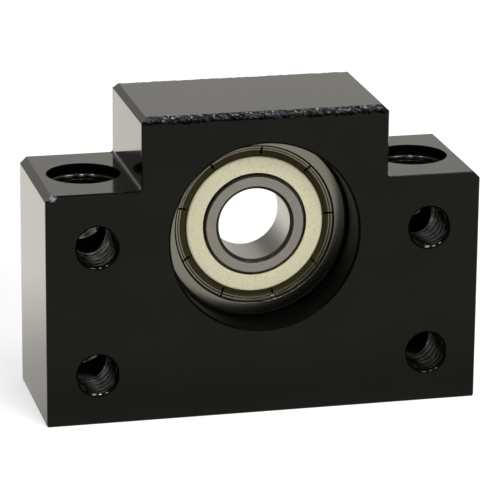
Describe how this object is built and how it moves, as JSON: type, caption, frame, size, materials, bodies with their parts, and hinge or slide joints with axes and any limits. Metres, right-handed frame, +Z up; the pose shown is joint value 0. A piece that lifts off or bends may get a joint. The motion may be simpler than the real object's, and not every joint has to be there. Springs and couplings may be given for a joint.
{
  "type": "ball screw end support",
  "caption": "Stepped steel block with a shielded ball bearing in its bore, which carries the free end of a ball screw.",
  "frame": {"origin": "middle of the block's base, under the screw's axis", "axes": "+Z up from the base to the screw's axis, X along the block's width, Y along the screw's axis with the front at -Y"},
  "size_m": [0.06, 0.02, 0.0424],
  "materials": {
    "blackened_steel": "blackened, fine ground, glossy",
    "ring_steel": "satin ground bearing steel",
    "ball_steel": "polished",
    "cage_steel": "pressed, plain",
    "shield_steel": "pressed, matt, pale khaki"
  },
  "bodies": {
    "block": {"housing": "blackened_steel", "bearing_outer_ring": "ring_steel", "shield_front": "shield_steel", "shield_rear": "shield_steel"},
    "inner_ring": {"bearing_inner_ring": "ring_steel"},
    "cage": {"cage_front": "cage_steel", "cage_rear": "cage_steel", "cage_rivets": "cage_steel"},
    "rolling_ball_1": {"ball_1": "ball_steel"},
    "rolling_ball_2": {"ball_2": "ball_steel"},
    "rolling_ball_3": {"ball_3": "ball_steel"},
    "rolling_ball_4": {"ball_4": "ball_steel"},
    "rolling_ball_5": {"ball_5": "ball_steel"},
    "rolling_ball_6": {"ball_6": "ball_steel"},
    "rolling_ball_7": {"ball_7": "ball_steel"}
  },
  "joints": [
    {"name": "inner_ring_spin", "type": "hinge", "parent": "block", "child": "inner_ring", "pos_m": [0, 0, 0.025], "axis": [0, 1, 0], "continuous": true},
    {"name": "cage_spin", "type": "hinge", "parent": "block", "child": "cage", "pos_m": [0, 0, 0.025], "axis": [0, 1, 0], "continuous": true},
    {"name": "ball_1_spin", "type": "hinge", "parent": "cage", "child": "rolling_ball_1", "pos_m": [0, 0, 0.034], "axis": [0, 1, 0], "continuous": true},
    {"name": "ball_2_spin", "type": "hinge", "parent": "cage", "child": "rolling_ball_2", "pos_m": [-0.00704, 0, 0.03061], "axis": [0, 1, 0], "continuous": true},
    {"name": "ball_3_spin", "type": "hinge", "parent": "cage", "child": "rolling_ball_3", "pos_m": [-0.00877, 0, 0.023], "axis": [0, 1, 0], "continuous": true},
    {"name": "ball_4_spin", "type": "hinge", "parent": "cage", "child": "rolling_ball_4", "pos_m": [-0.0039, 0, 0.01689], "axis": [0, 1, 0], "continuous": true},
    {"name": "ball_5_spin", "type": "hinge", "parent": "cage", "child": "rolling_ball_5", "pos_m": [0.0039, 0, 0.01689], "axis": [0, 1, 0], "continuous": true},
    {"name": "ball_6_spin", "type": "hinge", "parent": "cage", "child": "rolling_ball_6", "pos_m": [0.00877, 0, 0.023], "axis": [0, 1, 0], "continuous": true},
    {"name": "ball_7_spin", "type": "hinge", "parent": "cage", "child": "rolling_ball_7", "pos_m": [0.00704, 0, 0.03061], "axis": [0, 1, 0], "continuous": true}
  ],
  "couplings": [
    {"joint": "cage_spin", "follows": "inner_ring_spin", "ratio": 0.36772},
    {"joint": "ball_1_spin", "follows": "inner_ring_spin", "ratio": -1.7577},
    {"joint": "ball_2_spin", "follows": "inner_ring_spin", "ratio": -1.7577},
    {"joint": "ball_3_spin", "follows": "inner_ring_spin", "ratio": -1.7577},
    {"joint": "ball_4_spin", "follows": "inner_ring_spin", "ratio": -1.7577},
    {"joint": "ball_5_spin", "follows": "inner_ring_spin", "ratio": -1.7577},
    {"joint": "ball_6_spin", "follows": "inner_ring_spin", "ratio": -1.7577},
    {"joint": "ball_7_spin", "follows": "inner_ring_spin", "ratio": -1.7577}
  ]
}
